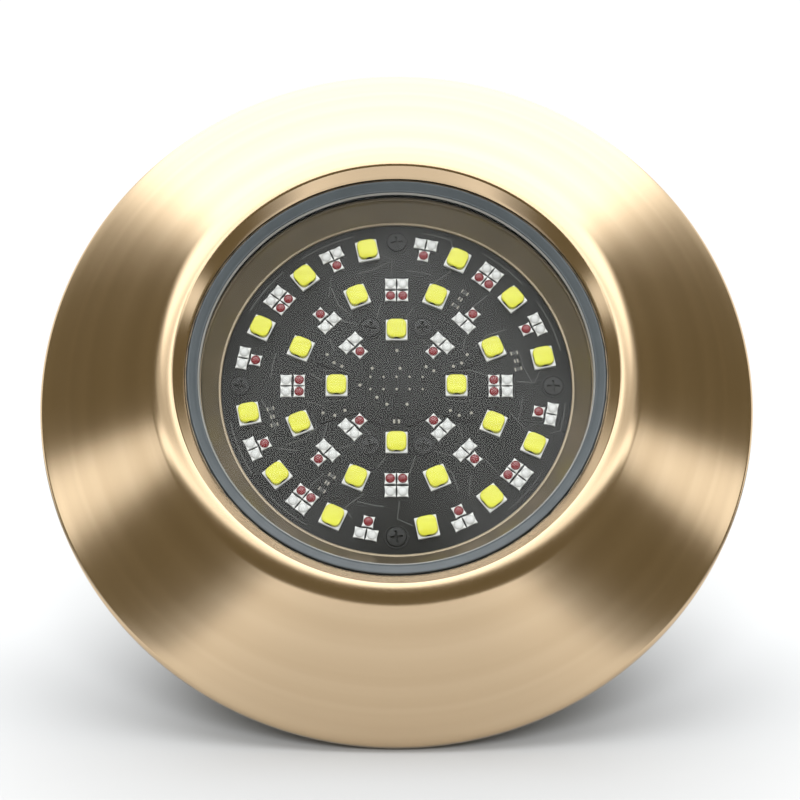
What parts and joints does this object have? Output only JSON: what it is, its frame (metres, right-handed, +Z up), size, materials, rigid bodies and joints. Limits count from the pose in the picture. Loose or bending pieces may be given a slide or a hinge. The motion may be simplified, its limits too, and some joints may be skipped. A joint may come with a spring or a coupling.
{
  "type": "underwater pool light",
  "caption": "Round underwater LED light with a bronze cone trim ring, a gasketed flat lens, a black LED board and a ribbed body that twists into a wall ring.",
  "frame": {"origin": "centre of the wall ring's back face, on the lamp axis, in the plane of the pool wall", "axes": "-Y is the lamp axis towards the swimmer, +Y goes into the wall, +Z up, +X to the right seen from the front"},
  "size_m": [0.165, 0.1042, 0.165],
  "materials": {
    "trim_bronze": "satin turned bronze",
    "bronze": "polished bronze",
    "gasket_rubber": "matte silicone",
    "lens_glass": "clear",
    "board_black": "matte black",
    "led_package": "phosphor on a white package",
    "black_screw": "black oxide",
    "steel_screw": "plain",
    "aluminium": "machined",
    "connector": "moulded",
    "driver_board": "solder mask",
    "coil": "enamelled wire",
    "capacitor": "sleeved",
    "body_plastic": "moulded",
    "wall_plastic": "moulded",
    "gland_plastic": "moulded",
    "seal_rubber": "matte"
  },
  "bodies": {
    "wall_mount": {"wall_ring": "wall_plastic"},
    "lamp": {"lamp_body": "body_plastic", "clamp_ring": "bronze", "clamp_screw_1": "steel_screw", "clamp_screw_2": "steel_screw", "clamp_screw_3": "steel_screw", "clamp_screw_4": "steel_screw", "lens_gasket": "gasket_rubber", "lens": "lens_glass", "funnel_ring": "bronze", "led_board": "board_black", "centre_cap": "board_black", "board_screw_01": "black_screw", "board_screw_02": "black_screw", "board_screw_03": "black_screw", "board_screw_04": "black_screw", "board_screw_05": "black_screw", "board_screw_06": "black_screw", "board_screw_07": "black_screw", "board_screw_08": "black_screw", "white_led_01": "led_package", "white_led_02": "led_package", "white_led_03": "led_package", "white_led_04": "led_package", "white_led_05": "led_package", "white_led_06": "led_package", "white_led_07": "led_package", "white_led_08": "led_package", "white_led_09": "led_package", "white_led_10": "led_package", "white_led_11": "led_package", "white_led_12": "led_package", "white_led_13": "led_package", "white_led_14": "led_package", "white_led_15": "led_package", "white_led_16": "led_package", "white_led_17": "led_package", "white_led_18": "led_package", "white_led_19": "led_package", "white_led_20": "led_package", "white_led_21": "led_package", "white_led_22": "led_package", "white_led_23": "led_package", "white_led_24": "led_package", "heat_spreader": "aluminium", "board_header": "connector", "standoff_1": "aluminium", "standoff_2": "aluminium", "standoff_3": "aluminium", "driver_board": "driver_board", "inductor": "coil", "capacitor_1": "capacitor", "capacitor_2": "capacitor", "terminal_block": "connector", "gland_body": "gland_plastic", "gland_washer": "seal_rubber", "gland_locknut": "gland_plastic", "gland_seal": "seal_rubber", "gland_nut": "gland_plastic"},
    "trim": {"trim_ring": "trim_bronze"}
  },
  "joints": [
    {"name": "lamp_twist", "type": "hinge", "parent": "wall_mount", "child": "lamp", "pos_m": [0, 0, 0], "axis": [0, -1, 0], "range_deg": [0, 30]},
    {"name": "trim_twist", "type": "hinge", "parent": "lamp", "child": "trim", "pos_m": [0, 0, 0], "axis": [0, -1, 0], "range_deg": [0, 20]}
  ]
}
